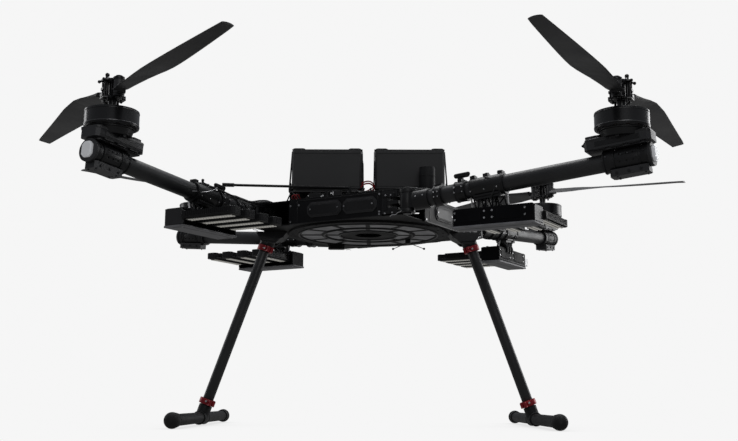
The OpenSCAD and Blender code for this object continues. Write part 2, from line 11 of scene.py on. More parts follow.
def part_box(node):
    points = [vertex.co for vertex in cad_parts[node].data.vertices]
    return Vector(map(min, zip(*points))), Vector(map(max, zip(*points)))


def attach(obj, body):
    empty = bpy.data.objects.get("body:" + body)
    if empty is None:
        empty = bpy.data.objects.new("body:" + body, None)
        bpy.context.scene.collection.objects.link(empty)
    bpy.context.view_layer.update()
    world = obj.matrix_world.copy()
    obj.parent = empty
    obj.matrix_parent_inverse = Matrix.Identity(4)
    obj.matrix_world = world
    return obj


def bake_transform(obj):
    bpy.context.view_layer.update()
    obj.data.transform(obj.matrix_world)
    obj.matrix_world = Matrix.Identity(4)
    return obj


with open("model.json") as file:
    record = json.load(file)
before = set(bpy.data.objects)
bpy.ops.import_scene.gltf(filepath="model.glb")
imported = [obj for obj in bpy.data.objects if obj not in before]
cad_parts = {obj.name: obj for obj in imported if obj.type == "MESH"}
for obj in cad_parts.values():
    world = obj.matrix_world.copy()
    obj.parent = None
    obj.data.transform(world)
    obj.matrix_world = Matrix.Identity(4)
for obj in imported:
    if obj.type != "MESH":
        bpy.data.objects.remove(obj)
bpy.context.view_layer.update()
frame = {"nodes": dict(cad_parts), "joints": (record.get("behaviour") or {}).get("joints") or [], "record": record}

MM = 0.001
ARMS = ["fr", "rr", "rl", "fl"]
JOINT = {j["name"]: j for j in frame["joints"]}
SLOT = {s["node"]: s["material_slot"] for s in frame["record"]["subparts"]}
rng = random.Random(7)


# ---------------------------------------------------------------- frames

def joint_at(name):
    return Vector(JOINT[name]["pos_m"])


def side_frame(arm):
    """The arm's frame: +X along the arm, -Y outward, origin on the body's axis."""
    h, m = joint_at("fold_" + arm), joint_at("spin_" + arm)
    return Matrix.Rotation(math.atan2(m.y - h.y, m.x - h.x), 4, "Z")


RISE = math.radians(4.97)


def tube_frame(arm):
    """Origin on the fold axis at the tube's height, +X up along the tube."""
    return (Matrix.Translation(joint_at("fold_" + arm)) @ side_frame(arm)
            @ Matrix.Rotation(-RISE, 4, "Y"))


def motor_frame(arm):
    m = joint_at("spin_" + arm)
    return Matrix.Translation((m.x, m.y, 0)) @ side_frame(arm)


def rotor_frame(arm, which="a"):
    """Origin under the rotor's axis at height 0, +X along the blade."""
    m, p = joint_at("spin_" + arm), joint_at(f"blade_fold_{which}_{arm}")
    return (Matrix.Translation((m.x, m.y, 0))
            @ Matrix.Rotation(math.atan2(p.y - m.y, p.x - m.x), 4, "Z"))


# ---------------------------------------------------------------- materials

class Nodes:
    """A short way to write a node tree."""

    def __init__(self, tree):
        self.tree = tree
        tree.nodes.clear()

    def add(self, kind, **values):
        n = self.tree.nodes.new("ShaderNode" + kind)
        for key, v in values.items():
            setattr(n, key, v)
        return n

    def link(self, a, b):
        self.tree.links.new(a, b)

    def maths(self, op, a, b=None):
        n = self.add("Math", operation=op)
        for i, v in enumerate((a, b)):
            if v is None:
                continue
            if isinstance(v, (int, float)):
                n.inputs[i].default_value = v
            else:
                self.link(v, n.inputs[i])
        return n.outputs[0]

    def spread(self, value, lo, hi, from_lo=0.0, from_hi=1.0):
        n = self.add("MapRange")
        n.inputs["From Min"].default_value = from_lo
        n.inputs["From Max"].default_value = from_hi
        n.inputs["To Min"].default_value = lo
        n.inputs["To Max"].default_value = hi
        self.link(value, n.inputs["Value"])
        return n.outputs["Result"]

    def noise(self, coord, scale, detail=4.0, rough=0.55):
        n = self.add("TexNoise")
        n.inputs["Scale"].default_value = scale
        n.inputs["Detail"].default_value = detail
        n.inputs["Roughness"].default_value = rough
        self.link(coord, n.inputs["Vector"])
        return n.outputs["Fac"]


def surface(name, color, rough=0.45, metal=0.0, grain=900, grain_bump=0.06, cloud=14, tone=0.25,
            coat=0.0, weave=0.0, brush=None, edge_highlight_and_wear=0.0, spec=0.5, painted_glow=0.0):
    """One procedural finish: cloudy tone, fine grain, optional cloth weave, brushing, edges lightened as painted
    edge highlights and wear, and a faint painted emission.
    """
    m = bpy.data.materials.new(name)
    m.use_nodes = True
    n = Nodes(m.node_tree)
    out = n.add("OutputMaterial")
    b = n.add("BsdfPrincipled")
    n.link(b.outputs[0], out.inputs["Surface"])
    b.inputs["Metallic"].default_value = metal
    b.inputs["Coat Weight"].default_value = coat
    b.inputs["Coat Roughness"].default_value = 0.18
    b.inputs["Specular IOR Level"].default_value = spec
    coord = n.add("TexCoord").outputs["Object"]
    clouds = n.noise(coord, cloud, 5)
    fine = n.noise(coord, grain, 3)
    tint = n.spread(clouds, 1 - tone, 1 + tone, 0.3, 0.7)
    height = fine
    if brush:
        m2 = n.add("Mapping")
        m2.inputs["Scale"].default_value = brush
        n.link(coord, m2.inputs["Vector"])
        streak = n.noise(m2.outputs[0], 60, 6, 0.7)
        height = n.maths("ADD", n.maths("MULTIPLY", streak, 0.8), n.maths("MULTIPLY", fine, 0.2))
        tint = n.maths("MULTIPLY", tint, n.spread(streak, 0.88, 1.12, 0.35, 0.65))
    if weave:
        w1 = n.add("TexWave", wave_type="BANDS", bands_direction="DIAGONAL")
        w2 = n.add("TexWave", wave_type="BANDS", bands_direction="X")
        for w in (w1, w2):
            w.inputs["Scale"].default_value = weave
            w.inputs["Distortion"].default_value = 0.6
            n.link(coord, w.inputs["Vector"])
        cloth = n.maths("MULTIPLY", w1.outputs["Fac"], w2.outputs["Fac"])
        tint = n.maths("MULTIPLY", tint, n.spread(cloth, 0.92, 1.10))
        height = n.maths("ADD", n.maths("MULTIPLY", height, 0.5), n.maths("MULTIPLY", cloth, 0.5))
    # Painted edge highlights and wear: a bevel-normal mask lightens the colour along sharp edges.
    if edge_highlight_and_wear:
        highlight_bevel = n.add("Bevel", samples=4)
        highlight_bevel.inputs["Radius"].default_value = 0.0012
        geo = n.add("NewGeometry")
        dot = n.add("VectorMath", operation="DOT_PRODUCT")
        n.link(highlight_bevel.outputs[0], dot.inputs[0])
        n.link(geo.outputs["Normal"], dot.inputs[1])
        edge_highlight_lines = n.spread(dot.outputs["Value"], 1.0, 0.0, 0.80, 0.985)
        edge_highlight_lines = n.maths("MULTIPLY", edge_highlight_lines, n.spread(fine, 0.4, 1.0, 0.35, 0.6))
        tint = n.maths("ADD", tint, n.maths("MULTIPLY", edge_highlight_lines, edge_highlight_and_wear))
    base = n.add("VectorMath", operation="SCALE")
    base.inputs[0].default_value = color[:3]
    n.link(tint, base.inputs["Scale"])
    n.link(base.outputs[0], b.inputs["Base Color"])
    n.link(n.spread(clouds, rough - 0.08, rough + 0.1, 0.3, 0.7), b.inputs["Roughness"])
    bump = n.add("Bump")
    bump.inputs["Strength"].default_value = grain_bump
    bump.inputs["Distance"].default_value = 0.0006
    n.link(height, bump.inputs["Height"])
    n.link(bump.outputs[0], b.inputs["Normal"])
    # Painted light: a faint emission that lightens the pale parts.
    if painted_glow:
        b.inputs["Emission Color"].default_value = (*color[:3], 1)
        b.inputs["Emission Strength"].default_value = painted_glow
    return m


FINISHES = {
    "carbon_plate": dict(color=(0.007, 0.007, 0.008), rough=0.5, metal=0, grain=700,
                         weave=160, coat=0.02, edge_highlight_and_wear=1.6, spec=0.17),
    "carbon_tube": dict(color=(0.020, 0.0205, 0.022), rough=0.46, metal=0, grain=500,
                        weave=110, coat=0.06),
    "black_alloy": dict(color=(0.009, 0.009, 0.010), rough=0.40, metal=0.2, grain=1200, edge_highlight_and_wear=1.6),
    "grey_alloy": dict(color=(0.034, 0.034, 0.036), rough=0.42, metal=0.3, grain=1300, edge_highlight_and_wear=1.2),
    "steel_screws": dict(color=(0.62, 0.62, 0.63), rough=0.28, metal=1.0, grain=2000, brush=(1, 1, 8)),
    "battery_case": dict(color=(0.031, 0.031, 0.032), rough=0.62, metal=0, grain=1500,
                         grain_bump=0.2, cloud=9, edge_highlight_and_wear=1.0),
    "dark_plastic": dict(color=(0.007, 0.007, 0.008), rough=0.52, metal=0, grain=1400,
                         edge_highlight_and_wear=0.9, spec=0.28),
    "red_anodised": dict(color=(0.30, 0.012, 0.020), rough=0.36, metal=0.35, grain=1600,
                         brush=(1, 1, 12), edge_highlight_and_wear=0.5),
    "rubber_cap": dict(color=(0.012, 0.012, 0.012), rough=0.7, metal=0, grain=1100,
                       grain_bump=0.25, spec=0.35),
    # Painted light: the pale diffuser parts are lightened by a faint emission.
    "light_diffuser": dict(color=(0.72, 0.73, 0.75), rough=0.35, metal=0, grain=900,
                           coat=0.2, tone=0.08, painted_glow=0.18),
    "heatsink": dict(color=(0.010, 0.010, 0.011), rough=0.45, metal=0.25, grain=1100,
                     brush=(1, 1, 6), edge_highlight_and_wear=1.8, spec=0.32),
    "motor_black": dict(color=(0.006, 0.006, 0.007), rough=0.27, metal=0.2, grain=1500,
                        coat=0.18, edge_highlight_and_wear=1.4, spec=0.38),
    "blade_composite": dict(color=(0.030, 0.030, 0.032), rough=0.46, metal=0, grain=800,
                            weave=90, coat=0.1),
    # Painted highlight: a pale copy of the grey alloy that paints the light falling on the light boxes' lower lips
    # and the bracket bands.
    "painted_lit_grey": dict(color=(0.24, 0.24, 0.25), rough=0.5, metal=0.1, grain=900, cloud=30, spec=0.3),
    "vent_grey": dict(color=(0.40, 0.40, 0.41), rough=0.6, metal=0, grain=900,
                      cloud=18, tone=0.4, spec=0.2),
    # Painted shade: a darker copy of the carbon plate, used for the bottom plate, which faces down into shade.
    "shaded_plate_black": dict(color=(0.004, 0.004, 0.0045), rough=0.52, metal=0, grain=700,
                        weave=160, edge_highlight_and_wear=2.0, spec=0.14),
    # Painted highlight: a strong edge mask paints bright lines along the edges of the light frames and driver
    # covers, on a dull black.
    "black_painted_edge_lines": dict(color=(0.006, 0.006, 0.007), rough=0.5, metal=0.0, grain=1500,
                        edge_highlight_and_wear=5.0, spec=0.06),
    "skid_black": dict(color=(0.009, 0.009, 0.010), rough=0.52, metal=0, grain=500, weave=110, spec=0.3),
    "cover_grey": dict(color=(0.026, 0.026, 0.028), rough=0.5, metal=0, grain=900, weave=160, spec=0.4),
    "dark_steel": dict(color=(0.12, 0.12, 0.125), rough=0.32, metal=1.0, grain=2000),
    "wire_black": dict(color=(0.012, 0.012, 0.013), rough=0.5, metal=0, grain=2200, cloud=40),
    "wire_red": dict(color=(0.30, 0.008, 0.012), rough=0.42, metal=0, grain=2200, cloud=40),
    "led_board": dict(color=(0.26, 0.26, 0.25), rough=0.5, metal=0, grain=1500, cloud=60, tone=0.3),
    # Painted light: the LED chips are lightened by a faint emission.
    "led_chip": dict(color=(0.82, 0.80, 0.74), rough=0.25, metal=0, grain=2500,
                     cloud=80, tone=0.1, coat=0.4, painted_glow=0.2),
    "winding": dict(color=(0.055, 0.030, 0.018), rough=0.38, metal=0.6, grain=1800, brush=(1, 1, 14)),
    "bright_edge": dict(color=(0.16, 0.16, 0.165), rough=0.3, metal=0.8, grain=2000),
}
MATS = {name: surface(name, **look) for name, look in FINISHES.items()}

# The bottom plate takes the darker painted-shade copy of the carbon plate.
OWN_FINISH = {"pocket_covers": "cover_grey", "skid_tubes": "skid_black", "bottom_plate": "shaded_plate_black"}
# The light frames take the dull black with painted edge highlights.
for arm in ARMS:
    OWN_FINISH["light_frame_" + arm] = "black_painted_edge_lines"
for name, node in frame["nodes"].items():
    node.data.materials.clear()
    node.data.materials.append(MATS[OWN_FINISH.get(name, SLOT[name])])
    weld = node.modifiers.new("weld", "WELD")
    weld.merge_threshold = 0.00002
    if "blade" in name or "skid_caps" in name:
        continue
    bev = node.modifiers.new("bevel", "BEVEL")
    bev.width = 0.0005
    bev.segments = 2
    bev.limit_method = "ANGLE"
    bev.angle_limit = math.radians(40)

# ---------------------------------------------------------------- building added pieces

class Kit:
    """Collects shapes in millimetres in one frame, then makes one piece of them."""

    def __init__(self, name, body, slot, mat=None, at=None, bevel=0.35):
        self.name, self.body, self.slot, self.bevel = name, body, slot, bevel
        self.mat = mat or MATS[slot]
        self.at = at or Matrix.Identity(4)
        self.bm = bmesh.new()

    def box(self, lo, hi, turn=None):
        lo, hi = Vector(lo), Vector(hi)
        m = Matrix.Translation((lo + hi) / 2)
        if turn is not None:
            m = m @ turn.to_4x4()
        m = m @ Matrix.Diagonal((*(hi - lo), 1))
        bmesh.ops.create_cube(self.bm, size=1, matrix=m)
        return self

    def cyl(self, p, q, r, r2=None, seg=20):
        p, q = Vector(p), Vector(q)
        d = q - p
        m = Matrix.Translation((p + q) / 2) @ d.to_track_quat("Z", "Y").to_matrix().to_4x4()
        bmesh.ops.create_cone(self.bm, cap_ends=True, segments=seg, radius1=r,
                              radius2=r if r2 is None else r2, depth=d.length, matrix=m)
        return self

    def ball(self, c, r, seg=14):
        bmesh.ops.create_uvsphere(self.bm, u_segments=seg, v_segments=seg // 2 + 1, radius=r,
                                  matrix=Matrix.Translation(c))
        return self

    def ring(self, c, axis, r_in, r_out, h, seg=48):
        """A flat ring standing on c, h tall along axis."""
        q = Vector(axis).to_track_quat("Z", "Y").to_matrix()
        loops = []
        for r, z in ((r_in, 0), (r_out, 0), (r_out, h), (r_in, h)):
            loops.append([self.bm.verts.new(Vector(c) + q @ Vector(
                (r * math.cos(2 * math.pi * i / seg), r * math.sin(2 * math.pi * i / seg), z)))
                for i in range(seg)])
        for a, b in zip(loops, loops[1:] + loops[:1]):
            for i in range(seg):
                j = (i + 1) % seg
                self.bm.faces.new((a[i], a[j], b[j], b[i]))
        return self

    def tube(self, points, r, seg=8, fine=6):
        """A round cable through the points, smoothed."""
        pts = [Vector(p) for p in points]
        ext = [2 * pts[0] - pts[1]] + pts + [2 * pts[-1] - pts[-2]]
        path = []
        for k in range(1, len(ext) - 2):
            a, b, c, d = ext[k - 1:k + 3]
            for i in range(fine):
                t = i / fine
                path.append(0.5 * ((2 * b) + (c - a) * t + (2 * a - 5 * b + 4 * c - d) * t * t
                                   + (3 * b - a - 3 * c + d) * t ** 3))
        path.append(pts[-1])
        rings, side = [], None
        for k, p in enumerate(path):
            d = (path[min(k + 1, len(path) - 1)] - path[max(k - 1, 0)]).normalized()
            if side is None:
                side = d.orthogonal().normalized()
            side = (side - d * side.dot(d)).normalized()
            up = d.cross(side)
            rings.append([self.bm.verts.new(p + (side * math.cos(2 * math.pi * i / seg)
                                                 + up * math.sin(2 * math.pi * i / seg)) * r)
                          for i in range(seg)])
        for a, b in zip(rings, rings[1:]):
            for i in range(seg):
                j = (i + 1) % seg
                self.bm.faces.new((a[i], a[j], b[j], b[i]))
        self.bm.faces.new(list(reversed(rings[0])))
        self.bm.faces.new(rings[-1])
        return self

    def prism(self, outline, axis, lo, hi):
        """A flat plate: outline in the other two axes, in order, from lo to hi along axis."""
        def put(a, b, h):
            return {"x": (h, a, b), "y": (a, h, b), "z": (a, b, h)}[axis]
        low_ring = [self.bm.verts.new(put(a, b, lo)) for a, b in outline]
        top_ring = [self.bm.verts.new(put(a, b, hi)) for a, b in outline]
        self.bm.faces.new(list(reversed(low_ring)))
        self.bm.faces.new(top_ring)
        for i in range(len(outline)):
            j = (i + 1) % len(outline)
            self.bm.faces.new((low_ring[i], low_ring[j], top_ring[j], top_ring[i]))
        return self

    def screw(self, c, out, r=2.0, h=1.4):
        """A socket-head screw facing out."""
        c, out = Vector(c), Vector(out).normalized()
        self.cyl(c - out * 0.4, c + out * h, r, seg=16)
        self.ring(c + out * h, out, r * 0.45, r * 0.9, 0.35, seg=12)
        return self

    def done(self):
        bmesh.ops.recalc_face_normals(self.bm, faces=self.bm.faces)
        self.bm.transform(Matrix.Scale(MM, 4))
        me = bpy.data.meshes.new(self.name)
        self.bm.to_mesh(me)
        self.bm.free()
        for p in me.polygons:
            p.use_smooth = True
        me.set_sharp_from_angle(angle=math.radians(38))
        me.materials.append(self.mat)
        o = bpy.data.objects.new(self.name, me)
        o.matrix_world = self.at
        bpy.context.scene.collection.objects.link(o)
        if self.bevel:
            b = o.modifiers.new("bevel", "BEVEL")
            b.width = self.bevel * MM
            b.segments = 2
            b.limit_method = "ANGLE"
            b.angle_limit = math.radians(40)
        if self.body:
            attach(o, self.body)
        return o


def around(r, degrees, z):
    a = math.radians(degrees)
    return Vector((r * math.cos(a), r * math.sin(a), z))


def cut_corners(a0, a1, b0, b1, cut):
    """The outline of a rectangle with its four corners cut off."""
    return [(a0 + cut, b0), (a1 - cut, b0), (a1, b0 + cut), (a1, b1 - cut),
            (a1 - cut, b1), (a0 + cut, b1), (a0, b1 - cut), (a0, b0 + cut)]


# ---------------------------------------------------------------- centre body

def mm_box(node):
    a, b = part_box(node)
    return a / MM, b / MM


deck = mm_box("top_deck")[1].z
tray = mm_box("battery_left")[0].z - 1

panel = Kit("vent_floor", "frame", "carbon_plate", MATS["vent_grey"], bevel=0)
panel.ring((0, 0, 1.2), (0, 0, 1), 64, 149, 0.6, 96)
panel.done()
hub = Kit("centre_hub", "frame", "dark_plastic")
hub.cyl((0, 0, 7.6), (0, 0, 9.5), 33, seg=48)
for i in range(8):
    c = around(22, 45 * i + 22, 7.2)
    hub.box(c - Vector((3, 3, 0.8)), c + Vector((3, 3, 0.8)))
hub.done()
rails = Kit("ring_rails", "frame", "black_alloy", bevel=0.2)
for r in (153, 97.5, 63.5):
    rails.ring((0, 0, -1.5), (0, 0, 1), r - 1.6, r + 1.6, 1.6, 96)
for i in range(24):
    rails.cyl(around(166, 15 * i + 5, -1.0), around(166, 15 * i + 5, 0.4), 2.2, seg=12)
rails.done()

for name in ("left", "right"):
    b_lo, b_hi = mm_box("battery_" + name)
    strap = Kit("straps_" + name, "frame", "dark_plastic", bevel=0.3)
    for y in (-58, 52):
        for x, lean in ((b_lo.x, -1), (b_hi.x, 1)):
            foot = 7.5 if abs(x) > 50 else 3.2
            strap.prism([(x + lean * 0.3, b_hi.z - 4), (x + lean * 2.0, b_hi.z - 4),
                         (x + lean * foot, tray + 8), (x + lean * (foot - 2), tray + 8)], "y", y - 9, y + 9)
            if abs(x) > 50:
                near, far = sorted((x, x + lean * 7.5))
                strap.box((near, y - 11, tray + 2), (far, y + 11, tray + 11))
        strap.box((b_lo.x - 1.2, y - 9, b_hi.z + 0.1), (b_hi.x + 1.2, y + 9, b_hi.z + 1.6))
    strap.done()
    seams = Kit("case_seams_" + name, "frame", "dark_plastic", bevel=0.15)
    for z in (b_lo.z + 9, b_hi.z - 12):
        seams.box((b_lo.x + 4, b_lo.y - 0.35, z), (b_hi.x - 4, b_lo.y + 0.3, z + 1.1))
        seams.box((b_lo.x + 4, b_hi.y - 0.3, z), (b_hi.x - 4, b_hi.y + 0.35, z + 1.1))
    mid = (b_lo.x + b_hi.x) / 2
    seams.prism(cut_corners(mid - 38, mid + 38, b_lo.z + 22, b_hi.z - 22, 4), "y", b_hi.y - 0.3, b_hi.y + 0.5)
    for x in (mid - 22, mid + 22):
        seams.box((x - 14, b_lo.y + 26, b_hi.z), (x + 14, b_hi.y - 26, b_hi.z + 0.6))
    seams.done()
    grip = Kit("battery_grip_" + name, "frame", "dark_plastic", bevel=0.8)
    grip.tube([(mid + x, 6, b_hi.z + z) for x, z in ((-30, -1), (-24, 5), (0, 6), (24, 5), (30, -1))], 2.6)
    grip.done()

leads = Kit("power_leads", "frame", "red_anodised", MATS["wire_red"], bevel=0)
for dy, dz in ((-78, 0), (-74, 6), (-66, 3)):
    leads.tube([(-20, dy, tray + 6 + dz), (-8, dy - 8, tray + 15 + dz), (5, dy - 6, tray + 16 + dz),
                (13, dy, tray + 8 + dz), (4, dy + 4, tray + 1 + dz), (-9, dy, tray - 6 + dz)], 1.5)
for x in (-158, -152):
    leads.tube([(x, -96, deck + 3), (x - 4, -104, deck + 9),
                (x + 3, -105, deck + 14), (x + 8, -98, deck + 5)], 0.9)
leads.done()

loom = Kit("cable_loom", "frame", "dark_plastic", MATS["wire_black"], bevel=0)
for i in range(26):
    x = rng.uniform(-150, 150)
    y = rng.choice((-1, 1)) * rng.uniform(70, 112)
    dx = rng.uniform(-34, 34)
    z = deck + 2
    loom.tube([(x, y, z), (x + dx * 0.3, y * 1.04, z + rng.uniform(6, 16)),
               (x + dx * 0.7, y * 1.02, z + rng.uniform(10, 20)),
               (x + dx, y * 0.86, z + rng.uniform(0, 14))], rng.uniform(1.1, 2.4), 6, 5)
for x in (-11, 6):
    loom.tube([(x * 0.8, -70, tray + 9), (x * 0.9, -76, tray + 4),
               (x, -84, tray), (x - 8, -84, deck + 3)], 1.8)
loom.done()

gear = Kit("deck_gear", "frame", "dark_plastic", bevel=0.5)
DECK_BOXES = (
    # centre x, centre y, width, depth, height
    (-108, -118, 34, 16, 13), (-66, -124, 22, 12, 17), (-20, -122, 30, 14, 12), (22, -126, 18, 12, 16),
    (58, -118, 26, 18, 14), (-140, 60, 24, 40, 15), (128, 40, 26, 44, 14), (-70, 116, 44, 16, 16),
    (10, 120, 36, 14, 12), (84, 112, 30, 18, 15),
)
for x, y, width, depth, height in DECK_BOXES:
    base = deck + height
    gear.box((x - width / 2, y - depth / 2, deck + 0.1), (x + width / 2, y + depth / 2, base))
    gear.box((x - width / 4, y - depth / 3, base), (x + width / 4, y + depth / 3, base + 2.5))
for x, y in ((-86, -122), (-42, -118), (2, -120), (40, -120), (-30, 118), (56, 118)):
    gear.cyl((x, y, deck), (x, y, deck + 18), 5.5, seg=24)
    gear.ring((x, y, deck + 18), (0, 0, 1), 3, 4.6, 0.6, 24)
for x in (-168, 168):
    for y in (-52, 48):
        gear.prism([(x - 4, deck), (x + 4, deck), (x + 2, tray), (x - 2, tray)], "y", y - 5, y + 5)
gear.done()
struts = Kit("tray_struts", "frame", "black_alloy", bevel=0.3)
for sx in (-1, 1):
    for y in (-84, 80):
        struts.cyl((sx * 165, y, tray - 1), (sx * 142, y, deck + 1), 1.7, seg=12)
        struts.cyl((sx * 120, y, tray - 1), (sx * 142, y, deck + 1), 1.7, seg=12)
        struts.cyl((sx * 165, y, tray - 1), (sx * 176, y + 8, deck + 2), 1.5, seg=12)
        struts.ball((sx * 142, y, deck + 2), 2.6)
struts.done()

bits = Kit("bright_bits", "frame", "steel_screws", bevel=0.1)
for x, y, z in ((-126, -111, 10), (-98, -127, 6), (-77, -131, 12), (-9, -130, 7), (35, -133, 10),
                (72, -128, 6), (-120, 116, 8), (40, 128, 9), (100, 122, 7)):
    bits.cyl((x, y, deck + z), (x, y - 2 if y < 0 else y + 2, deck + z), 1.3, seg=10)
    bits.box((x + 3, y - 1, deck + z - 3), (x + 4.2, y + 1, deck + z + 4))
bits.cyl((133, -118.5, deck + 8), (133, -118.5, deck + 66), 0.8, seg=8)
bits.done()
cap = Kit("antenna_cap", "frame", "dark_plastic", bevel=1.2)
cap.cyl((126, -104, deck + 71), (126, -104, deck + 74), 16.2, seg=40)
cap.ring((126, -104, deck + 10), (0, 0, 1), 16.9, 17.8, 2, 40)
cap.ring((126, -104, deck + 54), (0, 0, 1), 16.9, 17.6, 1.5, 40)
cap.done()

side_h = mm_box("side_plates")[1].z
for arm in ARMS:
    f = side_frame(arm)
    trim = Kit("side_trim_" + arm, "frame", "black_alloy", at=f, bevel=0.3)
    trim.box((-66, -185.5, 8), (-64.6, -184.9, side_h - 4))
    trim.box((-60, -185.9, side_h - 5.5), (130, -184.9, side_h - 3.8))
    trim.box((-80, -185.8, 3.6), (136, -184.9, 5.4))
    trim.box((128.6, -185.5, 8), (129.6, -184.9, side_h - 6))
    for x0 in (-36, 51):
        trim.prism(cut_corners(x0, x0 + 71, 20, 40, 5), "y", -188.5, -187.7)
    trim.done()
    corner = Kit("corner_gear_" + arm, "frame", "dark_plastic", at=f, bevel=0.4)
    corner.box((140, -187.2, 40), (168, -184.8, 48))
    corner.box((142, -186.8, 14), (150, -184.8, 36))
    corner.cyl((158, -187.5, 12), (158, -184.5, 12), 3.4)
    corner.cyl((166, -187.5, 46), (166, -184.5, 46), 2.6)
    corner.done()
    silver = Kit("corner_screws_" + arm, "frame", "steel_screws", at=f, bevel=0.1)
    for x, z in ((145, 8.6), (162, 9.0), (148, 44), (160, 44)):
        silver.screw((x, -187.2 if z > 40 else -185, z), (0, -1, 0), 1.6)
    silver.tube([(186, -187, 13), (183, -189, 8.5), (176, -188, 7),
                 (171, -188, 3.5), (162, -187, 3.6), (157, -186, 1)], 0.7)
    silver.done()

# ---------------------------------------------------------------- arms

# Along each arm, in millimetres: the four light bars' centre lines.
BAR_S = [319.5 + 44.5 * i for i in range(4)]
# The hub's two plates, above the underside of the motor bell.
HUB_LOW, HUB_HIGH = 53, 89
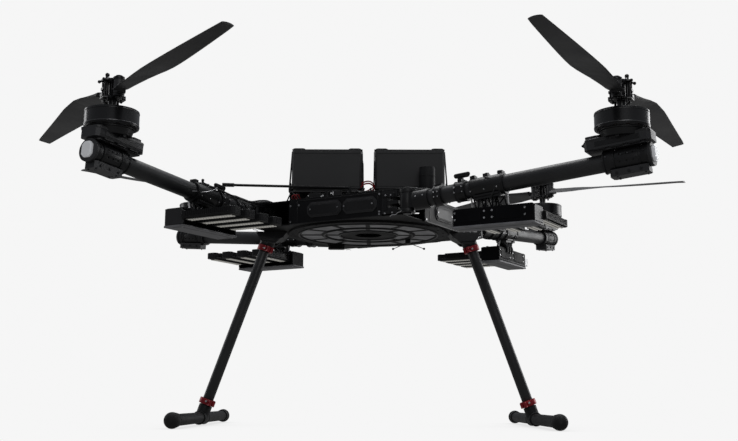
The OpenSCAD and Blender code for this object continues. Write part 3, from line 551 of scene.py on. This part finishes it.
# The latch pin in the tube's frame, and the ends of the grip over it.
LEVER_PIN = Vector((121, 0, 21.5))
GRIP_ENDS = ((-11, 0, 11.4), (15, 0, 11.4))
for arm in ARMS:
    body = "arm_" + arm
    f, t = side_frame(arm), tube_frame(arm)
    z_box = [v.z for v in mm_box("light_frame_" + arm)][0]
    z_top = z_box + 34.8
    z_bar = mm_box("light_bars_" + arm)[0].z
    hw = Kit("arm_hardware_" + arm, body, "black_alloy", at=t, bevel=0.35)
    for u in (65, 78.5, 110, 129.5, 143, 206, 209):
        hw.ring((u, 0, 0), (1, 0, 0), 16.4, 20.8, 2.2, 48)
    for u in (73, 121):
        for a in (-1, 1):
            hw.box((u - 6, a * 19 - 2.5, -7), (u + 6, a * 19 + 2.5, 7))
    for u in (148, 176, 202):
        hw.cyl((u - 1, 0, 23), (u - 1, 0, 26.5), 4.2, seg=24)
    hw.box((150, -16, -16), (200, 16, -19.6))
    hw.done()
    bright = Kit("arm_screws_" + arm, body, "steel_screws", at=t, bevel=0.1)
    for u in (69, 77, 113, 129):
        for a in (-1, 1):
            bright.screw((u, a * 21.4, 4.5 if u < 100 else 5), (0, a, 0), 1.5)
            bright.screw((u, a * 20.8, -5), (0, a, 0), 1.3)
    for u in (146, 174, 200):
        bright.ring((u + 1, 0, 22.2), (0, 0, 1), 4.1, 4.9, 1.0, 24)
        bright.cyl((u + 1, -4.6, 21), (u + 1, 4.6, 21), 1.4, seg=12)
        for a in (-1, 1):
            bright.screw((u, a * 19.4, -8), (0, a, -0.4), 1.3)
    for u in (28, 44):
        for a in (-1, 1):
            bright.screw((u, a * 18.9, 4), (0, a, 0.2), 1.5)
    bright.done()
    links = Kit("driver_links_" + arm, body, "black_alloy", at=f, bevel=0.3)
    for s in (336, 352, 384, 399):
        links.cyl((s, -163, z_top - 1), (s - 3, -171, 24), 1.9, seg=14)
    for s0, s1 in ((342, 366), (366, 342), (372, 394), (394, 372)):
        links.cyl((s0, -158, z_top - 1), (s1, -166, 22), 1.5, seg=12)
    for s in (332, 356, 380, 400):
        links.box((s - 5, -170, z_top - 1), (s + 5, -156, z_top + 2.4))
    links.done()
    posts = Kit("driver_posts_" + arm, body, "steel_screws", at=f, bevel=0.15)
    for s in (330, 404):
        posts.cyl((s, -170, z_top - 1), (s, -176, 26), 1.7, seg=14)
        posts.cyl((s, -170, z_top), (s, -170, z_top + 3), 3.2, seg=14)
    posts.done()

    # light array: driver box, bars, fins and emitters
    # The driver covers take the dull black with painted edge highlights.
    drv = Kit("driver_cover_" + arm, body, "black_alloy", MATS["black_painted_edge_lines"], at=f, bevel=0.5)
    for s0, s1 in ((306, 353), (386, 436)):
        drv.prism(cut_corners(s0, s1, z_box + 10, z_top - 3, 3), "y", -188, -186.8)
    drv.prism([(296, z_top - 0.1), (459, z_top - 0.1), (456, z_top + 1.6), (299, z_top + 1.6)],
              "y", -184, -143)
    for s in (311, 322, 418, 429, 440):
        drv.cyl((s, -150, z_top), (s, -150, z_top + 4.5), 3, seg=16)
    drv.box((298, -186, z_top), (306, -141, z_top + 1.2))
    drv.box((449, -186, z_top), (457, -141, z_top + 1.2))
    drv.done()
    # The lower lip is painted pale grey for the light falling on it from below.
    lip = Kit("driver_lip_" + arm, body, "grey_alloy", MATS["painted_lit_grey"], at=f, bevel=0.7)
    lip.prism([(294.5, -139), (460.5, -139), (462, -142), (462, -186), (459, -189), (296, -189), (293, -186),
               (293, -142)], "z", z_box - 1.5, z_box + 2.2)
    lip.box((300, -170, z_box - 2.3), (455, -150, z_box - 1.3))
    lip.done()
    end = Kit("driver_ends_" + arm, body, "grey_alloy", at=f, bevel=0.6)
    end.prism([(-185, z_box + 3), (-142, z_box + 3), (-140, z_box + 6), (-140, z_top - 6),
               (-145, z_top - 1), (-181, z_top - 1), (-185, z_top - 5)], "x", 459.1, 461.6)
    end.done()
    if arm == "rr":
        tab = Kit("driver_tab_" + arm, body, "light_diffuser", at=f, bevel=0.8)
        tab.box((461, -186, z_box + 7), (479, -168, z_box + 25))
        tab.done()
    if arm in ("rr", "rl"):
        hooks = Kit("bracket_hooks_" + arm, body, "black_alloy", at=f, bevel=0)
        for s in (340, 354, 368):
            hooks.tube([(s, -187, 60), (s, -191, 46), (s, -188, 34), (s, -180, 24),
                        (s, -182, 14), (s, -189, 4), (s, -188, -8)], 3.2, 10)
        hooks.done()
        # The bands take the same pale grey with painted light.
        band = Kit("bracket_band_" + arm, body, "steel_screws", MATS["painted_lit_grey"], at=f, bevel=0.6)
        band.box((334, -190, 54), (374, -185, 66))
        band.box((302, -188.8, z_box + 5), (454, -187.8, z_box + 6.2))
        band.box((336, -188.8, z_box + 14), (400, -187.8, z_box + 15))
        band.done()
    heads = Kit("driver_screws_" + arm, body, "steel_screws", at=f, bevel=0.1)
    for s in (299.8, 361, 377, 443):
        for z in (z_top - 7, z_top - 20):
            heads.screw((s, -187, z), (0, -1, 0), 2.0, 1.2)
    for s in (300, 455):
        for n in (146, 181):
            heads.screw((s, -n, z_box - 1.5), (0, 0, -1), 1.8, 0.8)
    heads.done()
    fins = Kit("bar_fins_" + arm, body, "heatsink", at=f, bevel=0)
    blocks = Kit("bar_blocks_" + arm, body, "dark_plastic", at=f, bevel=1.0)
    strip = Kit("led_board_" + arm, body, "light_diffuser", MATS["led_board"], at=f, bevel=0)
    chips = Kit("led_chips_" + arm, body, "light_diffuser", MATS["led_chip"], at=f, bevel=0)
    for s in BAR_S:
        for i in range(23):
            y = -137 + i * 4.6
            fins.box((s - 13.6, y, z_bar + 4), (s + 13.6, y + 1.5, z_bar + 14.6))
        blocks.prism([(s - 14, -30), (s + 14, -30), (s + 14, -22), (s + 9, -17), (s - 9, -17), (s - 14, -22)],
                     "z", z_bar + 1, z_bar + 15.6)
        blocks.box((s - 14, -140.5, z_bar - 0.5), (s + 14, -133, z_bar + 16))
        blocks.box((s - 14.2, -140, z_bar + 1.2), (s - 11, -22, z_bar + 5))
        blocks.box((s + 11, -140, z_bar + 1.2), (s + 14.2, -22, z_bar + 5))
        strip.box((s - 9.5, -133, z_bar - 0.8), (s + 9.5, -29, z_bar + 0.1))
        for i in range(17):
            for a in (-1, 1):
                x, y = s + a * 4.3, -130 + i * 6.2
                chips.box((x - 2.0, y, z_bar - 1.7), (x + 2.0, y + 3.6, z_bar - 0.7))
    for k in (fins, blocks, strip, chips):
        k.done()

    # tip: sleeve rings, controller box, motor foot
    tip = Kit("tip_hardware_" + arm, body, "black_alloy", at=t, bevel=0.4)
    tip.ring((405, 0, 0), (1, 0, 0), 16.3, 21.2, 3, 56)
    for u in (424, 470, 486):
        tip.ring((u, 0, 0), (1, 0, 0), 19.6, 20.9, 2.4, 56)
    for u in (392, 424, 456):
        tip.box((u, -22.4, 21.6), (u + 22, 22.4, 24.2))
    tip.box((396, -24.0, 28), (478, -22.6, 37))
    tip.box((396, 22.6, 28), (478, 24.0, 37))
    for u in (380, 392):
        tip.cyl((u, -4, 50), (u, -4, 53), 3.2, seg=18)
    for u in (428, 450, 472):
        tip.cyl((u, -16.5, -25), (u, 16.5, -25), 2.6, seg=16)
    tip.done()
    shell = Kit("controller_lid_" + arm, body, "grey_alloy", at=t, bevel=1.4)
    shell.prism([(378, -21), (384, -23.4), (492, -23.4), (497, -19),
                 (497, 19), (492, 23.4), (384, 23.4), (378, 21)], "z", 39, 43.6)
    shell.prism([(382, -17), (388, -20), (488, -20), (492, -16), (492, 16), (488, 20), (388, 20), (382, 17)],
                "z", 43.4, 44.8)
    shell.done()
    tip_screws = Kit("tip_screws_" + arm, body, "steel_screws", MATS["dark_steel"], at=t, bevel=0.1)
    for u in (388, 484):
        for y in (-17, 17):
            tip_screws.screw((u, y, 44.6), (0, 0, 1), 1.8)
    for u in (412, 440, 452, 480):
        for y in (-1, 1):
            tip_screws.screw((u, y * 19.2, 6), (0, y, 0.3), 1.5)
    for u in (427, 478):
        tip_screws.screw((u, -9, -31), (0, 0, -1), 1.8)
        tip_screws.screw((u, 9, -31), (0, 0, -1), 1.8)
    tip_screws.done()
    m = motor_frame(arm)
    bell = mm_box("motor_bell_" + arm)
    zb = bell[0].z
    foot = Kit("motor_foot_" + arm, body, "black_alloy", at=m, bevel=0.8)
    foot.cyl((0, 0, zb - 16), (0, 0, zb - 4), 36, 40, seg=64)
    foot.cyl((0, 0, zb - 4), (0, 0, zb - 1.2), 42, seg=64)
    for i in range(8):
        c = around(30, 45 * i, zb - 16)
        foot.box(c - Vector((3, 3, 4)), c + Vector((3, 3, 4)))
    foot.done()
    coil = Kit("stator_coils_" + arm, body, "motor_black", MATS["winding"], at=m, bevel=0.6)
    for i in range(24):
        a = math.radians(15 * i)
        q = Matrix.Rotation(a, 3, "Z")
        c = q @ Vector((37.5, 0, zb + 4))
        coil.box(c - Vector((4, 2.9, 3.4)), c + Vector((4, 2.9, 3.4)), q)
    coil.done()
    phase = Kit("phase_leads_" + arm, body, "dark_plastic", MATS["wire_black"], at=m, bevel=0)
    for y in (-7, 0, 7):
        phase.tube([(-30, y, zb - 8), (-46, y * 1.2, zb - 9),
                    (-62, y, zb - 16), (-74, y * 0.7, zb - 24)], 2.0)
    phase.done()
    # cable from the body over the fold joint, then along the arm
    cable = Kit("fold_cable_" + arm, None, "dark_plastic", MATS["wire_black"], at=f, bevel=0)
    cable.tube([(150, -150, 56), (166, -146, 60), (184, -150, 58), (204, -156, 54), (228, -160, 53)], 2.3)
    cable.tube([(146, -154, 57), (168, -152, 63), (190, -158, 61), (210, -163, 56), (230, -166, 53.5)], 1.8)
    c = cable.done()
    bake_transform(c)
    run = Kit("arm_cable_" + arm, body, "dark_plastic", MATS["wire_black"], at=t, bevel=0)
    run.tube([(38, 14, 20), (60, 13, 20.5), (90, 12, 19.5),
              (120, 13.5, 19.8), (150, 13, 20.5), (175, 12, 20)], 1.9)
    run.tube([(175, -14, 16), (192, -16.5, 8), (196, -18, -4),
              (190, -16, -18), (180, -10, -28), (176, 4, -40)], 1.5)
    run.done()
    if arm == "fl":
        silver = Kit("arm_wire_" + arm, body, "steel_screws", at=t, bevel=0)
        silver.tube([(148, 14, 22), (160, 19, 16), (180, 22.6, 6),
                     (202, 20, -2), (214, 17.4, -3), (228, 17.6, -6)], 0.7)
        silver.done()

    # rotor
    rb = "rotor_" + arm
    r = rotor_frame(arm)
    zt = bell[1].z
    rim = Kit("bell_rim_" + arm, rb, "motor_black", MATS["bright_edge"], at=m, bevel=0.12)
    rim.ring((0, 0, zb + 4.0), (0, 0, 1), 48.8, 49.55, 0.9, 96)
    rim.ring((0, 0, zb - 0.05), (0, 0, 1), 45.2, 48.6, 0.5, 96)
    rim.done()
    crown = Kit("bell_crown_" + arm, rb, "motor_black", at=m, bevel=0.6)
    crown.ring((0, 0, zt - 0.1), (0, 0, 1), 40, 47.5, 1.1, 96)
    crown.ring((0, 0, zt - 4.2), (0, 0, 1), 48.6, 49.5, 1.6, 96)
    crown.cyl((0, 0, zt - 0.2), (0, 0, zt + 3.6), 21, 16, seg=48)
    for i in range(8):
        q = Matrix.Rotation(math.radians(45 * i + 22.5), 3, "Z")
        c0 = q @ Vector((30, 0, zt + 0.4))
        crown.box(c0 - Vector((11, 2.2, 1.2)), c0 + Vector((11, 2.2, 1.2)), q)
    crown.done()
    head = Kit("hub_hardware_" + arm, rb, "motor_black", at=r, bevel=0.4)
    z0, z1 = zb + HUB_LOW, zb + HUB_HIGH
    for z in (z0 - 1.6, z0 + 4, z1 - 5.4, z1):
        head.ring((0, 0, z), (0, 0, 1), 7, 15.5, 1.4, 40)
    for sx in (-1, 1):
        head.cyl((sx * 27, 0, z0 - 3), (sx * 27, 0, z0), 6.2, seg=24)
        head.cyl((sx * 27, 0, z1), (sx * 27, 0, z1 + 2.2), 7.0, seg=24)
        head.box((sx * 14 - 2, -9.5, z0 + 3.6), (sx * 14 + 2, -6.5, z1 - 3.6))
        head.box((sx * 14 - 2, 6.5, z0 + 3.6), (sx * 14 + 2, 9.5, z1 - 3.6))
        for sy in (-1, 1):
            head.cyl((sx * 8, sy * 13, z0 - 6), (sx * 8, sy * 13, z0 + 1), 2.2, seg=14)
            head.cyl((sx * 5, sy * 18, z0), (sx * 5, sy * 18, z1), 1.7, seg=14)
            head.cyl((sx * 7, sy * 18, z1 - 2), (sx * 11, sy * 22.6, z1 - 3), 1.8, seg=12)
            head.ball((sx * 11, sy * 22.6, z1 - 3), 3.1)
    for sy in (-1, 1):
        head.prism([(-12, sy * 14), (12, sy * 14), (9, sy * 21.5), (-9, sy * 21.5)], "z", z0, z0 + 3)
        head.prism([(-12, sy * 14), (12, sy * 14), (9, sy * 21.5), (-9, sy * 21.5)], "z", z1 - 3, z1)
        head.box((-6, sy * 19 - 3.5, z0 + 3), (6, sy * 19 + 3.5, z0 + 9))
        head.box((-6, sy * 19 - 2.5, z0 + 15), (6, sy * 19 + 2.5, z0 + 20))
    head.done()
    pins = Kit("hub_pins_" + arm, rb, "steel_screws", at=r, bevel=0.1)
    for sx in (-1, 1):
        pins.screw((sx * 27, 0, z1 + 2), (0, 0, 1), 3.2, 1.4)
        pins.screw((sx * 9, -13, z1 + 1), (0, 0, 1), 1.6)
        pins.screw((sx * 9, 13, z1 + 1), (0, 0, 1), 1.6)
        pins.cyl((sx * 15.8, 0, z0 + 7), (sx * 15.8, 0, z1 - 7), 0.9, seg=10)
    pins.done()
    for which in ("a", "b"):
        rr = rotor_frame(arm, which)
        grip = Kit(f"blade_root_{which}_{arm}", f"blade_{which}_{arm}", "dark_plastic", at=rr, bevel=0.3)
        grip.ring((27, 0, z0 + 5.2), (0, 0, 1), 4, 9.9, 1.0, 32)
        grip.ring((27, 0, z1 - 6.2), (0, 0, 1), 4, 9.9, 1.0, 32)
        grip.cyl((36, 0, z0 + 9), (36, 0, z0 + 21), 2.0, seg=12)
        grip.done()
    lever = Kit("lever_grip_" + arm, "lever_" + arm, "dark_plastic",
                at=t @ Matrix.Translation(LEVER_PIN * MM), bevel=0.8)
    lever.cyl(*GRIP_ENDS, 4.2, seg=24)
    for c in GRIP_ENDS:
        lever.ball(c, 4.2)
    lever.done()

# ---------------------------------------------------------------- landing gear

# The legs' top centres, the radius of the skids' ball caps, and the clamps' places down a leg.
LEG_TOP_X = 224.0
CAP_R = 15.5
CLAMPS = (12, 364)
for sx, name in ((1, "right"), (-1, "left")):
    b_lo, b_hi = mm_box("skid_caps")
    skid_x = b_hi.x - CAP_R
    dark = Kit("skid_bands_" + name, "frame", "black_alloy", bevel=0.3)
    cz = b_lo.z + CAP_R
    for y in (-29, 27):
        dark.ring((sx * skid_x, y, cz), (0, 1, 0), 13.6, 14.8, 2.4, 40)
    for y in (-300, -296, 296, 300):
        dark.ring((sx * skid_x, y - 1, cz), (0, 1, 0), 11.3, 13.9, 2, 40)
    dark.done()
    bolts = Kit("clamp_bolts_" + name, "frame", "steel_screws", bevel=0.1)
    leg_dir = Vector((sx * (skid_x - LEG_TOP_X), 0, cz + 20)).normalized()
    for down in CLAMPS:
        p = Vector((sx * LEG_TOP_X, 0, -20)) + leg_dir * down
        for y in (-11.5, 11.5):
            bolts.screw(p + Vector((0, y * 1.55, 0)), (0, y, 0), 2.2, 1.6)
    bolts.done()
    wedge = Kit("leg_gusset_" + name, "frame", "black_alloy", bevel=0.8)
    for y in (-23, 19):
        wedge.prism([(sx * x, z) for x, z in ((178, 3.5), (246, 3.5), (238, -12), (224, -23),
                                              (204, -21), (190, -9))], "y", y - 1, y + 5)
    wedge.cyl((sx * 196, -24, -4), (sx * 196, 24, -4), 2.4, seg=16)
    wedge.cyl((sx * 236, -24, -5), (sx * 236, 24, -5), 2.4, seg=16)
    wedge.done()

# ---------------------------------------------------------------- stage

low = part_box("skid_caps")[0].z


def stage_material(name, camera_tone, bounce_tone):
    """An even pale floor with a soft contact shadow; other surfaces see it dimmer."""
    m = bpy.data.materials.new(name)
    m.use_nodes = True
    n = Nodes(m.node_tree)
    out = n.add("OutputMaterial")
    path = n.add("LightPath")
    near = n.add("AmbientOcclusion", samples=8)
    near.inputs["Distance"].default_value = 0.22
    seen = n.add("Emission")
    seen.inputs["Color"].default_value = (camera_tone,) * 3 + (1,)
    n.link(n.spread(near.outputs["AO"], 0.80, 1.0, 0.35, 0.97), seen.inputs["Strength"])
    dim = n.add("Emission")
    dim.inputs["Color"].default_value = (bounce_tone,) * 3 + (1,)
    pick = n.add("MixShader")
    n.link(path.outputs["Is Camera Ray"], pick.inputs[0])
    n.link(dim.outputs[0], pick.inputs[1])
    n.link(seen.outputs[0], pick.inputs[2])
    n.link(pick.outputs[0], out.inputs["Surface"])
    return m


bm = bmesh.new()
bmesh.ops.create_circle(bm, cap_ends=True, segments=96, radius=30)
me = bpy.data.meshes.new("floor")
bm.to_mesh(me)
bm.free()
floor = bpy.data.objects.new("floor", me)
floor.location.z = low - 0.0004
bpy.context.scene.collection.objects.link(floor)
# How bright the stage looks to the camera, and how bright other surfaces see it.
PALE, BOUNCE = 0.921, 0.18
floor.data.materials.append(stage_material("pale_floor", PALE, BOUNCE))

world = bpy.data.worlds.new("studio")
bpy.context.scene.world = world
world.use_nodes = True
w = Nodes(world.node_tree)
wout = w.add("OutputWorld")
wpath = w.add("LightPath")
wcam = w.add("Background")
wcam.inputs["Color"].default_value = (PALE, PALE, PALE, 1)
wsoft = w.add("Background")
ramp = w.add("ValToRGB")
ramp.color_ramp.elements[0].position = 0.35
ramp.color_ramp.elements[0].color = (0.055, 0.055, 0.058, 1)
ramp.color_ramp.elements[1].position = 0.95
ramp.color_ramp.elements[1].color = (0.30, 0.31, 0.33, 1)
wco = w.add("TexCoord")
wsep = w.add("SeparateXYZ")
w.link(wco.outputs["Generated"], wsep.inputs[0])
w.link(w.spread(wsep.outputs["Z"], 0.0, 1.0, -1.0, 1.0), ramp.inputs[0])
w.link(ramp.outputs["Color"], wsoft.inputs["Color"])
wmix = w.add("MixShader")
w.link(wpath.outputs["Is Camera Ray"], wmix.inputs[0])
w.link(wsoft.outputs[0], wmix.inputs[1])
w.link(wcam.outputs[0], wmix.inputs[2])
w.link(wmix.outputs[0], wout.inputs["Surface"])


def softbox(name, at, look, size, power):
    """A large soft light that looks at a point."""
    data = bpy.data.lights.new(name, "AREA")
    data.shape = "RECTANGLE"
    data.size, data.size_y = size
    data.energy = power
    o = bpy.data.objects.new(name, data)
    o.location = at
    o.rotation_mode = "QUATERNION"
    o.rotation_quaternion = (Vector(look) - Vector(at)).to_track_quat("-Z", "Y")
    bpy.context.scene.collection.objects.link(o)


softbox("key_top", (0.3, 0.5, 2.3), (0, 0, 0), (2.4, 1.4), 38)
softbox("side_right", (2.1, 1.35, 0.4), (0.1, 0, 0.05), (1.3, 1.3), 14)
softbox("side_left", (-2.4, 1.2, 0.5), (0, 0, 0.05), (0.9, 1.4), 7)
softbox("front_fill", (0.4, -2.8, 0.9), (0, 0, 0.1), (1.6, 0.8), 7)

# ---------------------------------------------------------------- camera

data = bpy.data.cameras.new("camera")
data.sensor_width = 36.0
data.lens = 51.056
camera = bpy.data.objects.new("camera", data)
bpy.context.scene.collection.objects.link(camera)
bpy.context.scene.camera = camera
YAW, TILT, ROLL = -0.0097705, 0.169948, -0.0048351
ex = Vector((math.cos(YAW), -math.sin(YAW), 0))
ey = Vector((math.sin(YAW), math.cos(YAW), 0))
ahead = ey * math.cos(TILT) + Vector((0, 0, math.sin(TILT)))
up = -ey * math.sin(TILT) + Vector((0, 0, math.cos(TILT)))
right = ex * math.cos(ROLL) - up * math.sin(ROLL)
up = ex * math.sin(ROLL) + up * math.cos(ROLL)
spot = ex * 0.0013645 - ey * 2.2897733 + Vector((0, 0, -0.359136))
camera.matrix_world = Matrix.Translation(spot) @ Matrix((right, up, -ahead)).transposed().to_4x4()
data.clip_start, data.clip_end = 0.05, 100

bpy.context.scene.view_settings.view_transform = "Standard"
